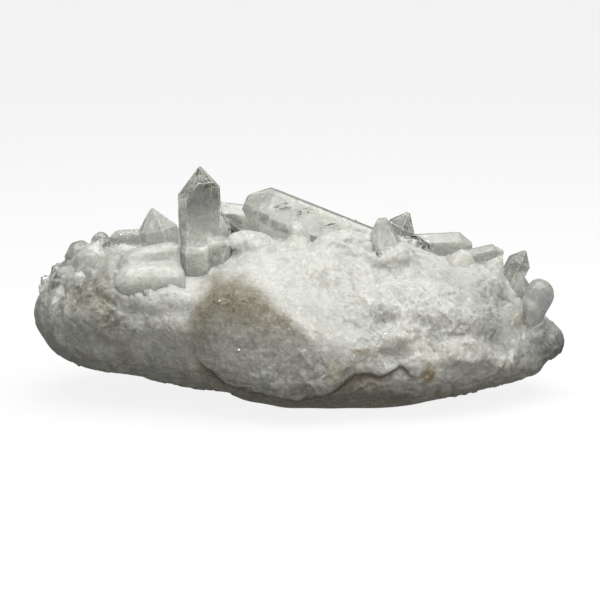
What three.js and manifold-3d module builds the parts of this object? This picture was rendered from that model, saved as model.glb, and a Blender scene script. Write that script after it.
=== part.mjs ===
// Quartz crystal cluster: a long lens of milky vein quartz, broken off its vein, with clear points
// standing on its crest and one long prism lying along it. Millimetres, +Z up, +X along the
// specimen, -Y its front. The origin is on the flat spot that the specimen rests on.
import * as THREE from "three";
import { ConvexGeometry } from "three/addons/geometries/ConvexGeometry.js";
import { mergeVertices } from "three/addons/utils/BufferGeometryUtils.js";
import Module from "manifold-3d";

const wasm = await Module();
wasm.setup();

// ---------------------------------------------------------------- driving dimensions
const SOCKET_GAP = 0.3; // clearance round every crystal in its socket
const TIP_TILT = 38.2; // quartz: a tip face's normal above the prism face's, in degrees
const SIDES = 6; // quartz grows six prism faces and six tip faces
const STATIONS = 28; // steps between cross-sections along the body
const RIBS = 20; // points round each cross-section
const ROUGHNESS = 0.5; // how far a body vertex strays from the smooth form
const FULL_GIRTH = 60; // a section shorter round than this is roughened less
const CHIP_SUNK = 0.66; // share of its size that a fused chip sits below the surface
const CHIP_CORNERS = 9; // corners of a fused chip
const CHIP_LONG = [0.9, 1.5]; // half sizes of a chip as shares of its size
const CHIP_WIDE = [0.8, 1.3];
const CHIP_THICK = 0.8;
const STUB_LENGTH = 3.2; // a stubby point's length, as a share of its size
const STUB_PROUD = 1.1; // how far it stands out, as a share of its size
const STUB_APOTHEM = 0.55; // half its width, as a share of its size
const STUB_LEAN = 0.5; // how far it leans from upright and outward
const BLOCK_TWIST = 0.6; // how far a block's corners stray round it, in radians
const BLOCK_REACH = [0.9, 1.02]; // how far they stand from its middle, as a share of its half sizes
const FLAT = 1e-6; // three planes whose normals span less than this have no corner
const ON_PLANE = 1e-5; // how far a corner may be outside a plane
const SAME_CORNER = 1e-3; // corners closer than this are one
const GROUND_BLOCK = [200, 120, 20]; // what the flat spot is cut with
const SEED = 4127;

// Rails of the milky body, left end to right end: [x, y, z].
const CREST = [
  [-59.6, 0, 20.2], [-56.8, 0, 25.6], [-53.5, 0, 29.8], [-49.1, 1, 32.8], [-44.7, 2, 33.2],
  [-35.9, 3, 31.6], [-25.0, 0, 30.2], [-15.0, 0, 34.6], [0.0, 2, 35.2], [11.0, 1, 35.2],
  [22.0, 1, 33.6], [31.0, 0, 31.0], [40.0, -1, 28.6], [46.0, -1, 25.2], [52.0, -1, 20.2],
  [59.0, -1, 14.0],
];
const BROW = [
  [-59.6, -2, 18.6], [-55.8, -8, 23.2], [-47.2, -14, 29.4], [-39.4, -16, 31.4],
  [-31.7, -18, 28.4], [-22.0, -20, 26.2], [-14.0, -21, 28.0], [-4.0, -21, 26.6],
  [5.0, -20, 25.2], [14.0, -18, 25.4], [28.0, -16, 23.4], [38.0, -13, 21.6],
  [49.0, -8, 17.4], [59.0, -3, 12.6],
];
const BELLY = [
  [-59.6, -2, 17.0], [-57.6, -8, 18.0], [-47.8, -19, 18.4], [-39.0, -21, 18.0],
  [-29.0, -22, 16.0], [-18.7, -23, 15.6], [-8.0, -25, 15.0], [4.0, -27, 13.0],
  [12.0, -27.5, 12.0], [21.0, -27, 11.4], [30.0, -25, 10.4], [40.5, -19, 9.8],
  [50.0, -12, 9.4], [59.0, -3, 10.8],
];
const FOOT = [
  [-59.6, -1, 15.6], [-54.6, -7, 10.4], [-45.0, -11, 8.4], [-35.0, -13, 7.0],
  [-25.0, -14, 4.8], [-14.0, -15, 3.0], [-6.0, -15, 0.2], [2.0, -15, -0.8], [10.0, -15, -0.8],
  [20.0, -14, -0.4], [28.4, -13, 1.0], [39.4, -11, 3.0], [48.6, -7, 4.8], [59.0, -2, 9.4],
];
const HEEL = [
  [-59.6, 1, 15.6], [-52.0, 9, 9.8], [-42.0, 13, 7.4], [-30.0, 15, 5.0], [-18.0, 16, 1.6],
  [-8.0, 16, -0.6], [8.0, 16, -0.8], [20.0, 15, -0.2], [30.0, 14, 2.2], [44.0, 9, 5.2],
  [59.0, 1, 9.4],
];
const BACK = [
  [-59.6, 2, 17.0], [-54.0, 11, 17.6], [-44.0, 20, 17.0], [-30.0, 25, 15.4], [-14.0, 28, 14.0],
  [2.0, 29, 13.4], [18.0, 27, 12.6], [32.0, 23, 12.0], [46.0, 14, 11.4], [59.0, 2, 10.8],
];
const REAR_BROW = [
  [-59.6, 1, 18.6], [-55.0, 8, 22.6], [-46.0, 15, 27.0], [-34.0, 20, 27.4], [-20.0, 22, 27.8],
  [-4.0, 23, 28.6], [12.0, 22, 27.6], [26.0, 19, 24.4], [40.0, 13, 20.4], [50.0, 7, 16.8],
  [59.0, 1, 12.6],
];
const RAILS = [CREST, BROW, BELLY, FOOT, HEEL, BACK, REAR_BROW];

// The broken boulder at the front: an arched brow, a bulging face below it and an undercut foot.
const FRONT_BOULDER = [
  [-28.0, -17, 23.0], [-22.4, -23.5, 27.4], [-18.4, -25, 29.6], [-14.1, -25.8, 30.3],
  [-10.6, -26.4, 29.9], [-7.2, -26.8, 28.4], [-3.6, -27.2, 25.9], [0.0, -27.8, 23.2],
  [4.8, -28, 20.2], [9.4, -28, 17.4], [-28.5, -19, 16.5], [-24.0, -25, 20.5], [-19.0, -28, 19.5],
  [-13.0, -28.6, 22.5], [-7.0, -29.6, 19.5], [-1.0, -30.2, 16.5], [5.0, -30, 13.0],
  [10.5, -28.6, 12.6], [-25.0, -21, 9.8], [-19.0, -25.6, 11.4], [-12.0, -28.4, 10.6],
  [-4.0, -29.6, 9.0], [4.0, -28.8, 7.0], [9.6, -26.4, 8.2], [-19.0, -19.6, 5.0],
  [-10.0, -23.2, 4.2], [-1.0, -24.6, 3.2], [6.0, -23, 3.6], [-18, -4, 26], [2, -6, 20],
  [-16, -5, 8], [4, -6, 6],
];

// The left end's boulder, flat-faced above and smoothly rounded below.
const LEFT_BOULDER = [
  [-59.2, -3, 17.6], [-58.0, -5, 23.4], [-55.6, -8.5, 25.4], [-50.0, -13, 29.0], [-43.0, -16.5, 31.0],
  [-36.5, -16.5, 31.6], [-57.0, -10.5, 18.6], [-52.6, -16, 20.4], [-46.6, -20.6, 21.2],
  [-39.6, -21.6, 22.0], [-55.6, -9, 12.6], [-50.4, -15, 12.8], [-43.6, -18.6, 12.6],
  [-37.6, -20.2, 13.6], [-51.8, -7.6, 9.6], [-45.2, -11.4, 8.4], [-39.0, -14.2, 7.8],
  [-52, 4, 26], [-40, 5, 30], [-52, 6, 12], [-38, 7, 10],
];

// The block in the lap between the two boulders.
const LAP_BLOCK = [
  [-37.4, -15, 29.4], [-31.0, -18.2, 28.8], [-24.0, -21.0, 26.8], [-37.8, -19.6, 20.0],
  [-31.4, -23.4, 21.4], [-23.6, -25.4, 20.0], [-36.8, -17.4, 10.2], [-30.6, -20.6, 10.8],
  [-24.0, -20.2, 9.4], [-34.0, -12.6, 6.4], [-26.0, -13.8, 4.6], [-34, 0, 28], [-24, 0, 26],
  [-34, 2, 10], [-24, 2, 8],
];
const HEWN = [FRONT_BOULDER, LEFT_BOULDER, LAP_BLOCK];

// Rounded lobes of the body: centre, half sizes, turn in degrees, corners.
const LOBES = [
  { name: "white slope", at: [4, -8, 26], half: [16, 10, 8.6], turn: [10, 8, 0], corners: 44 },
  { name: "crest hump", at: [9.6, -4.0, 32.6], half: [8.4, 5.2, 6.0], turn: [0, 6, 8], corners: 34 },
  { name: "crest knoll", at: [-10.2, -5.2, 32.3], half: [7.8, 5.6, 6.0], turn: [0, 4, 0], corners: 34 },
  { name: "saddle hump", at: [20.6, -5.6, 29.8], half: [6.4, 5, 5.2], turn: [0, 10, 0], corners: 28 },
  { name: "right flank", at: [28, -10, 18.5], half: [17, 12.5, 10.5], turn: [22, 10, -8], corners: 60 },
  { name: "lower shelf", at: [14, -19, 8.8], half: [12, 8.4, 5.4], turn: [0, 4, 0], corners: 40 },
  { name: "right shelf", at: [40, -9, 9.6], half: [10.5, 7.6, 5.2], turn: [0, -8, -18], corners: 36 },
  { name: "right lobe", at: [52.6, -3, 12.8], half: [7, 6.6, 5], turn: [0, 10, -12], corners: 36 },
  { name: "right toe", at: [50.0, -5, 8.6], half: [5.6, 6, 4.2], turn: [0, -6, -12], corners: 30 },
  { name: "back shoulder", at: [-30, 14, 20], half: [14, 10.5, 8.5], turn: [-8, 4, 14], corners: 44 },
  { name: "back bulge", at: [6, 16, 17.5], half: [17, 12.5, 11], turn: [-6, -3, -4], corners: 54 },
];

// Fused small growth: broken chips and stubby points scattered over bands of the body. A lap counts
// rails round the section: 0 crest, 1 brow, 2 belly, 3 foot, 4 heel, 5 back, 6 rear brow, 7 crest.
const BANDS = [
  { name: "right flank", x: [6, 52], lap: [0.4, 1.9], count: 24, size: [2.2, 4.8], points: 0.1 },
  { name: "lower right", x: [8, 48], lap: [1.9, 2.7], count: 10, size: [1.8, 3.6], points: 0 },
  { name: "left face", x: [-54, -40], lap: [0.3, 1.1], count: 9, size: [1.8, 3.6], points: 0.3 },
  { name: "left belly", x: [-52, -28], lap: [1.6, 2.6], count: 5, size: [2.4, 4.0], points: 0 },
  { name: "boulder foot", x: [-24, 8], lap: [2.1, 2.7], count: 7, size: [1.8, 3.2], points: 0 },
  { name: "plateau", x: [-48, 46], lap: [5.9, 6.95], count: 32, size: [1.5, 3.0], points: 0.8 },
  { name: "back", x: [-50, 50], lap: [4.4, 5.9], count: 22, size: [2.4, 5.2], points: 0 },
];

// Milky crystals that are fused to the body: tip, axis from root to tip, length, apothem, spin.
const FUSED = [
  { tip: [-0.9, -2.6, 40.7], axis: [-0.1, -0.1, 1], length: 11, apothem: 2.3, spin: 20, blunt: 1.0 },
  { tip: [12.2, -4.6, 39.6], axis: [0.2, -0.2, 1], length: 10, apothem: 2.9, spin: 5, blunt: 1.5 },
  { tip: [42.4, -7.0, 25.0], axis: [0.3, -0.4, 0.85], length: 9, apothem: 2.6, spin: 25, blunt: 0.8 },
  { tip: [30.0, -8.4, 30.4], axis: [0.1, -0.5, 0.85], length: 9, apothem: 2.5, spin: 50, blunt: 0.9 },
  { tip: [-46.4, -10.4, 33.6], axis: [-0.5, -0.4, 0.75], length: 12, apothem: 3.2, spin: 20, blunt: 1.2 },
];

// Crystals, each a node or a group grown together. flats scales the six prism faces' distances and
// tips moves the six tip faces outwards, so no two crystals have the same habit.
const CRYSTALS = [
  {
    name: "tall_point", finish: "clear",
    points: [
      {
        tip: [-21.8, -6, 52.0], axis: [-0.03, 0.02, 1], length: 24, apothem: 4, spin: -64,
        flats: [0.68, 1.0, 1.0, 0.75, 1.13, 1.3], tips: [0, 0.2, 0.1, 0.3, 0, 0],
      },
      { tip: [-17.1, -4.6, 42.0], axis: [0.08, 0, 1], length: 13, apothem: 1.9, spin: 14, tipTilt: 30 },
      { tip: [-22.5, -9.8, 39.0], axis: [-0.04, -0.08, 1], length: 14, apothem: 3.6, spin: 30, blunt: 3.5 },
      { tip: [-17.2, -9.0, 39.4], axis: [0.06, -0.1, 1], length: 14, apothem: 2.8, spin: 18, blunt: 2.8 },
    ],
  },
  {
    name: "reclining_prism", finish: "clear",
    points: [
      {
        tip: [-13.2, 5.2, 41.8], axis: [-0.928, 0, 0.373], length: 50, apothem: 5.8, spin: 4,
        flats: [1.04, 1, 1, 1.0, 1, 1.02], tips: [1.8, 0.5, 0.6, 0.3, 0.5, 0.9], blunt: 0.5,
      },
    ],
  },
  {
    name: "left_point", finish: "cloudy",
    points: [
      {
        tip: [-32.9, 1.6, 41.8], axis: [-0.23, 0, 0.97], length: 14, apothem: 3.9, spin: 22,
        tips: [0, 0.4, 0, 0.3],
      },
    ],
  },
  {
    name: "lap_crystals", finish: "cloudy",
    points: [
      {
        tip: [-40.0, -14.6, 31.2], axis: [-0.92, -0.36, -0.1], length: 17, apothem: 3.1, spin: 8,
        flats: [1.12, 1, 0.9, 1, 1, 0.94], tips: [0, 0.5, 0.2, 0, 0.4, 0.3], blunt: 0.5,
      },
      {
        tip: [-41.4, -18.4, 28.0], axis: [-0.97, -0.22, 0.0], length: 17, apothem: 3.6, spin: 34,
        flats: [1.05, 1, 0.95, 1, 0.9, 1], tips: [0.3, 0.8, 0, 0, 0.6, 0.2], blunt: 1.5,
      },
    ],
  },
  {
    name: "left_bead", finish: "clear",
    points: [
      { tip: [-44.3, 2, 37.4], axis: [0.06, -0.1, 1], length: 8, apothem: 2.3, spin: 10, blunt: 1.1 },
    ],
  },
  {
    name: "left_slab", finish: "clear",
    points: [
      { tip: [-43.8, 5.5, 33.8], axis: [-0.98, 0, -0.04], length: 11, apothem: 2.0, spin: 30, blunt: 0.5 },
    ],
  },
  {
    name: "left_edge_points", finish: "cloudy",
    points: [
      { tip: [-57.6, -1.5, 27.2], axis: [-0.6, -0.1, 0.8], length: 8, apothem: 1.8, spin: 0, blunt: 0.5 },
      { tip: [-55.0, -1.5, 29.6], axis: [-0.5, 0, 0.86], length: 8, apothem: 1.9, spin: 20, blunt: 0.5 },
      { tip: [-49.8, -1, 36.0], axis: [-0.24, 0, 0.97], length: 11, apothem: 3.1, spin: 44, blunt: 1.6 },
    ],
  },
  {
    name: "gap_point_rear", finish: "cloudy",
    points: [
      { tip: [-22.6, 16.5, 37.6], axis: [-0.98, 0, 0.12], length: 18, apothem: 3.2, spin: 30, blunt: 0.6 },
    ],
  },
  {
    name: "gap_point_front", finish: "clear",
    points: [
      { tip: [-18.0, -1.0, 40.6], axis: [-0.8, 0, 0.6], length: 13, apothem: 2.3, spin: 8 },
    ],
  },
  {
    name: "saddle_front_point", finish: "cloudy",
    points: [
      {
        tip: [17.8, -4.2, 41.9], axis: [-0.05, -0.06, 1], length: 15, apothem: 3.9, spin: -8,
        tipTilt: 27, tips: [0, 0.5, 0.2, 0, 0.5, 0.1], blunt: 1.8,
      },
    ],
  },
  {
    name: "saddle_rear_point", finish: "clear",
    points: [
      {
        tip: [25.2, 14.6, 38.9], axis: [0.42, 0, 0.9], length: 13, apothem: 3.1, spin: 0,
        tips: [0, 0.4, 0.2], blunt: 0.4,
      },
    ],
  },
  {
    name: "ridge_prism", finish: "cloudy",
    points: [
      { tip: [40.6, 14.2, 30.9], axis: [0.99, 0, 0.04], length: 14, apothem: 2.9, spin: 30, blunt: 0.9 },
    ],
  },
  {
    name: "cream_prism", finish: "cloudy",
    points: [
      {
        tip: [37.0, -1.8, 33.8], axis: [0.25, -0.15, 0.94], length: 11, apothem: 3.2, spin: 18,
        flats: [1.1, 1, 0.9], blunt: 1.3,
      },
    ],
  },
  {
    name: "notch_prism", finish: "clear",
    points: [
      { tip: [46.4, 5.0, 31.2], axis: [0.97, 0, 0.22], length: 10, apothem: 2.1, spin: 30, blunt: 0.5 },
    ],
  },
  {
    name: "east_point", finish: "clear",
    points: [
      { tip: [50.6, 2.2, 32.2], axis: [0.45, 0, 0.89], length: 12, apothem: 2.4, spin: 0, blunt: 0.3 },
    ],
  },
  {
    name: "east_wedge", finish: "cloudy",
    points: [
      { tip: [49.2, -3.2, 27.8], axis: [0.15, -0.2, 0.97], length: 9, apothem: 2.4, spin: 28 },
    ],
  },
  {
    name: "end_knob", finish: "cloudy",
    points: [
      { tip: [55.4, -4, 28.2], axis: [0.48, 0, 0.88], length: 15, apothem: 3.3, spin: 16, blunt: 2.4 },
    ],
  },
  {
    name: "back_left_points", finish: "cloudy",
    points: [
      { tip: [-44, 12, 33.0], axis: [-0.25, 0.25, 0.93], length: 11, apothem: 2.2, spin: 10 },
      { tip: [-39.5, 14, 32.4], axis: [0.05, 0.3, 0.95], length: 11, apothem: 2.8, spin: 35 },
      { tip: [-41, 17.5, 29.4], axis: [-0.1, 0.6, 0.8], length: 9, apothem: 2.2, spin: 5 },
    ],
  },
  {
    name: "back_middle_points", finish: "clear",
    points: [
      { tip: [-30, 17, 36.0], axis: [-0.2, 0.2, 0.96], length: 13, apothem: 2.7, spin: 25 },
      { tip: [-26.6, 20.5, 34.0], axis: [0.1, 0.45, 0.88], length: 11, apothem: 2.3, spin: 50 },
      { tip: [-32.8, 20.5, 32.0], axis: [-0.5, 0.5, 0.72], length: 9, apothem: 1.9, spin: 12 },
    ],
  },
  {
    name: "back_standing_points", finish: "clear",
    points: [
      {
        tip: [-1, 19.5, 40.0], axis: [0.05, 0.18, 0.98], length: 17, apothem: 3.3, spin: 18,
        tips: [0, 0.5, 0.2],
      },
      { tip: [5.2, 20.5, 35.6], axis: [0.35, 0.3, 0.88], length: 12, apothem: 2.4, spin: 40 },
    ],
  },
  {
    name: "back_right_points", finish: "cloudy",
    points: [
      { tip: [13, 18.5, 36.4], axis: [0.1, 0.2, 0.97], length: 13, apothem: 2.5, spin: 8 },
      { tip: [16.4, 21.5, 33.2], axis: [0.3, 0.5, 0.8], length: 10, apothem: 2.1, spin: 33 },
    ],
  },
  {
    name: "back_end_points", finish: "cloudy",
    points: [
      { tip: [44.5, 10.5, 27.2], axis: [0.3, 0.3, 0.9], length: 9, apothem: 1.9, spin: 20 },
      { tip: [48.4, 7.2, 26.4], axis: [0.5, 0.3, 0.8], length: 9, apothem: 1.8, spin: 40 },
    ],
  },
];

const FINISHES = {
  milky: { color: 0xdad8ce, roughness: 0.55, metalness: 0 },
  cloudy: { color: 0xd2d2ca, roughness: 0.25, metalness: 0 },
  clear: { color: 0xb9bcba, roughness: 0.08, metalness: 0 },
};

// ---------------------------------------------------------------- small tools
/** A seeded source of random numbers from 0 to 1. */
function dice(seed) {
  let state = seed >>> 0;
  return () => {
    state = (state + 0x6d2b79f5) >>> 0;
    let mixed = Math.imul(state ^ (state >>> 15), state | 1);
    mixed ^= mixed + Math.imul(mixed ^ (mixed >>> 7), mixed | 61);
    return ((mixed ^ (mixed >>> 14)) >>> 0) / 4294967296;
  };
}

/** A random number between the two ends of a range. */
function between([low, high], roll) {
  return low + (high - low) * roll();
}

/** A rotation from Euler angles in degrees. */
function turnOf(degrees) {
  return new THREE.Quaternion().setFromEuler(new THREE.Euler(...degrees.map(THREE.MathUtils.degToRad)));
}

/** A closed geometry as a solid. */
function solidOf(geometry) {
  const bare = geometry.clone();
  bare.deleteAttribute("normal");
  bare.deleteAttribute("uv");
  const merged = mergeVertices(bare, 1e-4);
  const vertProperties = new Float32Array(merged.attributes.position.array);
  const triVerts = new Uint32Array(merged.index.array);
  return new wasm.Manifold(new wasm.Mesh({ numProp: 3, vertProperties, triVerts }));
}

/** A solid as a flat-shaded geometry. */
function geometryOf(solid) {
  const mesh = solid.getMesh();
  const geometry = new THREE.BufferGeometry();
  geometry.setAttribute("position", new THREE.BufferAttribute(mesh.vertProperties, 3));
  geometry.setIndex(new THREE.BufferAttribute(mesh.triVerts, 1));
  const faceted = geometry.toNonIndexed();
  faceted.computeVertexNormals();
  return faceted;
}

/** Solids joined in one. */
function joined(solids) {
  return solids.reduce((whole, solid) => whole.add(solid));
}

// ---------------------------------------------------------------- the body's smooth form
/** A rail's y and z at x, on a smooth curve through its points. */
function railAt(rail, x) {
  const last = rail.length - 1;
  let start = 0;
  while (start < last - 1 && rail[start + 1][0] < x) start += 1;
  const [before, from, to, after] = [-1, 0, 1, 2].map(
    (step) => rail[THREE.MathUtils.clamp(start + step, 0, last)],
  );
  const span = to[0] - from[0];
  const t = THREE.MathUtils.clamp((x - from[0]) / span, 0, 1);
  return [1, 2].map((axis) => {
    const slopeFrom = ((to[axis] - before[axis]) / (to[0] - before[0])) * span;
    const slopeTo = ((after[axis] - from[axis]) / (after[0] - from[0])) * span;
    const rise = to[axis] - from[axis];
    const cubic = slopeFrom + slopeTo - 2 * rise;
    const square = 3 * rise - 2 * slopeFrom - slopeTo;
    return from[axis] + t * (slopeFrom + t * (square + t * cubic));
  });
}

/** The body's closed outline at x. */
function outlineAt(x) {
  const corners = RAILS.map((rail) => new THREE.Vector3(x, ...railAt(rail, x)));
  return new THREE.CatmullRomCurve3(corners, true, "centripetal");
}

/** A point on the smooth body, x along it and lap rails round it, with its outward direction. */
function bodyPoint(x, lap) {
  const outline = outlineAt(x);
  const at = outline.getPoint(lap / RAILS.length);
  const along = outline.getTangent(lap / RAILS.length);
  return { at, out: new THREE.Vector3().crossVectors(along, new THREE.Vector3(1, 0, 0)).normalize() };
}

/** The lofted body with its vertices roughened, closed at both ends. */
function roughBody() {
  const roll = dice(SEED);
  const [left, right] = [CREST[0][0], CREST[CREST.length - 1][0]];
  const positions = [];
  const faces = [];
  for (let station = 0; station <= STATIONS; station += 1) {
    const outline = outlineAt(THREE.MathUtils.lerp(left, right, station / STATIONS));
    const stray = ROUGHNESS * Math.min(1, outline.getLength() / FULL_GIRTH);
    for (let rib = 0; rib < RIBS; rib += 1) {
      const point = outline.getPoint(rib / RIBS);
      positions.push(...point.toArray().map((value) => value + stray * (2 * roll() - 1)));
    }
  }
  for (let station = 0; station < STATIONS; station += 1) {
    for (let rib = 0; rib < RIBS; rib += 1) {
      const here = station * RIBS + rib;
      const next = station * RIBS + ((rib + 1) % RIBS);
      faces.push(here, next, next + RIBS, here, next + RIBS, here + RIBS);
    }
  }
  for (let rib = 1; rib < RIBS - 1; rib += 1) {
    const end = STATIONS * RIBS;
    faces.push(0, rib + 1, rib, end, end + rib, end + rib + 1);
  }
  const geometry = new THREE.BufferGeometry();
  geometry.setAttribute("position", new THREE.Float32BufferAttribute(positions, 3));
  geometry.setIndex(faces);
  return solidOf(geometry);
}

// ---------------------------------------------------------------- rough blocks and crystals
/** A rough convex block: corners spread over an ellipsoid, each a little in or out of it. */
function block({ at, half, turn, corners }, seed) {
  const roll = dice(seed);
  const quaternion = turnOf(turn);
  const golden = Math.PI * (3 - Math.sqrt(5));
  const points = [];
  for (let i = 0; i < corners; i += 1) {
    const height = 1 - (2 * i + 1) / corners;
    const ring = Math.sqrt(1 - height * height);
    const bearing = i * golden + BLOCK_TWIST * roll();
    const point = new THREE.Vector3(Math.cos(bearing) * ring, Math.sin(bearing) * ring, height);
    point.multiplyScalar(between(BLOCK_REACH, roll)).multiply(new THREE.Vector3(...half));
    points.push(point.applyQuaternion(quaternion).add(new THREE.Vector3(...at)));
  }
  return solidOf(new ConvexGeometry(points));
}

/** A convex block from its corners. */
function hewn(corners) {
  return solidOf(new ConvexGeometry(corners.map((corner) => new THREE.Vector3(...corner))));
}

/** The corners of the convex solid that a set of planes bounds, each { normal, reach }. */
function cornersInside(planes) {
  const corners = [];
  const crossed = new THREE.Vector3();
  for (let i = 0; i < planes.length; i += 1) {
    for (let j = i + 1; j < planes.length; j += 1) {
      for (let k = j + 1; k < planes.length; k += 1) {
        const [a, b, c] = [planes[i], planes[j], planes[k]];
        const volume = a.normal.dot(crossed.crossVectors(b.normal, c.normal));
        if (Math.abs(volume) < FLAT) continue;
        const corner = new THREE.Vector3();
        corner.addScaledVector(crossed, a.reach);
        corner.addScaledVector(crossed.crossVectors(c.normal, a.normal), b.reach);
        corner.addScaledVector(crossed.crossVectors(a.normal, b.normal), c.reach);
        corner.divideScalar(volume);
        if (planes.some(({ normal, reach }) => normal.dot(corner) > reach + ON_PLANE)) continue;
        if (corners.every((known) => known.distanceTo(corner) > SAME_CORNER)) corners.push(corner);
      }
    }
  }
  return corners;
}

/** Where a quartz point's root is, and how it is turned: its own +Z runs from root to tip. */
function poseOf({ tip, axis, length, spin }) {
  const direction = new THREE.Vector3(...axis).normalize();
  const quaternion = new THREE.Quaternion().setFromUnitVectors(new THREE.Vector3(0, 0, 1), direction);
  quaternion.multiply(turnOf([0, 0, spin]));
  const root = new THREE.Vector3(...tip).addScaledVector(direction, -length);
  return new THREE.Matrix4().compose(root, quaternion, new THREE.Vector3(1, 1, 1));
}

/** A quartz point in its place: prism faces, tip faces and a root face, all moved out by grow. */
function quartz(point, grow = 0) {
  const { length, apothem, flats = [], tips = [], tipTilt = TIP_TILT, blunt = 0 } = point;
  const up = new THREE.Vector3(0, 0, 1);
  const tilt = THREE.MathUtils.degToRad(tipTilt);
  const planes = [{ normal: up.clone().negate(), reach: grow }];
  for (let side = 0; side < SIDES; side += 1) {
    const bearing = (side * 2 * Math.PI) / SIDES;
    const out = new THREE.Vector3(Math.cos(bearing), Math.sin(bearing), 0);
    planes.push({ normal: out, reach: apothem * (flats[side] ?? 1) + grow });
    const slanted = out.clone().multiplyScalar(Math.cos(tilt)).addScaledVector(up, Math.sin(tilt));
    planes.push({ normal: slanted, reach: Math.sin(tilt) * length + (tips[side] ?? 0) + grow });
  }
  if (blunt > 0) planes.push({ normal: up.clone(), reach: length - blunt + grow });
  const geometry = new ConvexGeometry(cornersInside(planes));
  geometry.applyMatrix4(poseOf(point));
  return solidOf(geometry);
}

/** Whether a ball of some size about a place stays clear of every crystal. */
function clearOfCrystals(place, size) {
  return CRYSTALS.flatMap(({ points }) => points).every((point) => {
    const direction = new THREE.Vector3(...point.axis).normalize();
    const tip = new THREE.Vector3(...point.tip);
    const root = tip.clone().addScaledVector(direction, -point.length);
    const nearest = new THREE.Line3(root, tip).closestPointToPoint(place, true, new THREE.Vector3());
    return nearest.distanceTo(place) > point.apothem + size;
  });
}

/** A small growth fused to the body: a broken chip, or a stubby point that stands out from it. */
function fusedGrowth(band, roll, seed) {
  const size = between(band.size, roll);
  let spot = bodyPoint(between(band.x, roll), between(band.lap, roll));
  while (!clearOfCrystals(spot.at, size)) {
    spot = bodyPoint(between(band.x, roll), between(band.lap, roll));
  }
  const { at, out } = spot;
  const stray = () => 2 * roll() - 1;
  if (roll() < band.points) {
    const lean = new THREE.Vector3(stray(), stray(), 1).multiplyScalar(STUB_LEAN);
    const axis = out.clone().add(lean).normalize();
    const tip = at.clone().addScaledVector(axis, STUB_PROUD * size).toArray();
    const [length, apothem, spin] = [STUB_LENGTH * size, STUB_APOTHEM * size, 60 * roll()];
    return quartz({ tip, axis: axis.toArray(), length, apothem, spin });
  }
  const centre = at.clone().addScaledVector(out, -CHIP_SUNK * size).toArray();
  const half = [size * between(CHIP_LONG, roll), size * between(CHIP_WIDE, roll), size * CHIP_THICK];
  const turn = [180 * stray(), 180 * stray(), 180 * stray()];
  return block({ at: centre, half, turn, corners: CHIP_CORNERS }, seed);
}

// ---------------------------------------------------------------- assembly
/** The milky body before its sockets are cut: form, lobes and fused growth on a flat foot. */
function milkyBody() {
  const parts = [roughBody()];
  HEWN.forEach((corners) => parts.push(hewn(corners)));
  LOBES.forEach((lobe, index) => parts.push(block(lobe, SEED + index)));
  FUSED.forEach((point) => parts.push(quartz(point)));
  const roll = dice(SEED + 1000);
  BANDS.forEach((band, bandIndex) => {
    for (let i = 0; i < band.count; i += 1) {
      parts.push(fusedGrowth(band, roll, SEED + 100 * bandIndex + i));
    }
  });
  const ground = new THREE.BoxGeometry(...GROUND_BLOCK).translate(0, 0, -GROUND_BLOCK[2] / 2);
  return joined(parts).subtract(solidOf(ground));
}

/** One crystal node's solid, with every point of it joined and moved out by grow. */
function crystalSolid({ points }, grow = 0) {
  return joined(points.map((point) => quartz(point, grow)));
}

/** A named mesh whose geometry is given in the specimen's frame and kept in its own. */
function meshOf(name, solid, finish, pose = new THREE.Matrix4()) {
  const geometry = geometryOf(solid).applyMatrix4(pose.clone().invert());
  const mesh = new THREE.Mesh(geometry, new THREE.MeshStandardMaterial(FINISHES[finish]));
  mesh.name = name;
  pose.decompose(mesh.position, mesh.quaternion, mesh.scale);
  return mesh;
}

const cluster = new THREE.Group();
let matrix = milkyBody();
let taken = null;
CRYSTALS.forEach((crystal) => {
  const whole = crystalSolid(crystal);
  const solid = taken ? whole.subtract(taken) : whole;
  const socket = crystalSolid(crystal, SOCKET_GAP);
  taken = taken ? taken.add(socket) : socket;
  matrix = matrix.subtract(socket);
  cluster.add(meshOf(crystal.name, solid, crystal.finish, poseOf(crystal.points[0])));
});
cluster.add(meshOf("matrix", matrix, "milky"));

export default cluster;
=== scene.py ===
"""The finish of a quartz crystal cluster: milky vein quartz with clear and cloudy points on its crest.

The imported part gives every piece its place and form. This script turns the milky body into broken,
sugary quartz, gives each crystal clear or cloudy substance, and sets the cluster in a plain studio.
All lengths are metres in the part's own frame: +Z up, +X along the specimen, -Y its front.
"""

from __future__ import annotations

import logging
import math
from dataclasses import dataclass, replace
from enum import Enum

import bmesh
import bpy
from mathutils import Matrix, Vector


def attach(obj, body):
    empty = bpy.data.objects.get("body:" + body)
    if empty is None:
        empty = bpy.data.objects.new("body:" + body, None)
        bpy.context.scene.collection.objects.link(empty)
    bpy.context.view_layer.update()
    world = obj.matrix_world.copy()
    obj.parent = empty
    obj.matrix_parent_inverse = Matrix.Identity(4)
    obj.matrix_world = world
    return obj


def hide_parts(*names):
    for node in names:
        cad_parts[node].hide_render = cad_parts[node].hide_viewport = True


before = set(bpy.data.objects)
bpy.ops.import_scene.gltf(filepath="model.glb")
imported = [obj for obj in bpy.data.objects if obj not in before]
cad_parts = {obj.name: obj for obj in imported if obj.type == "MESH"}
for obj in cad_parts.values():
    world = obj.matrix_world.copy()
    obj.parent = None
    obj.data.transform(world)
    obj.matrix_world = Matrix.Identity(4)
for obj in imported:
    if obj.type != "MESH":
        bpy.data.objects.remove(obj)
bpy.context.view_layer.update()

log = logging.getLogger("quartz")

MM = 0.001
WELD = 0.002 * MM
BODY = "root"
QUARTZ_IOR = 1.544
SHARP_EDGE = math.radians(20)
THIN = 0.06 * MM
MIDDLE = (0.5, 0.5, 0.5)
WHITE = (1.0, 1.0, 1.0)
UP = (0.0, 0.0, 1.0)

Object = bpy.types.Object
Material = bpy.types.Material
Point = tuple[float, float, float]
Colour = tuple[float, float, float]


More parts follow.
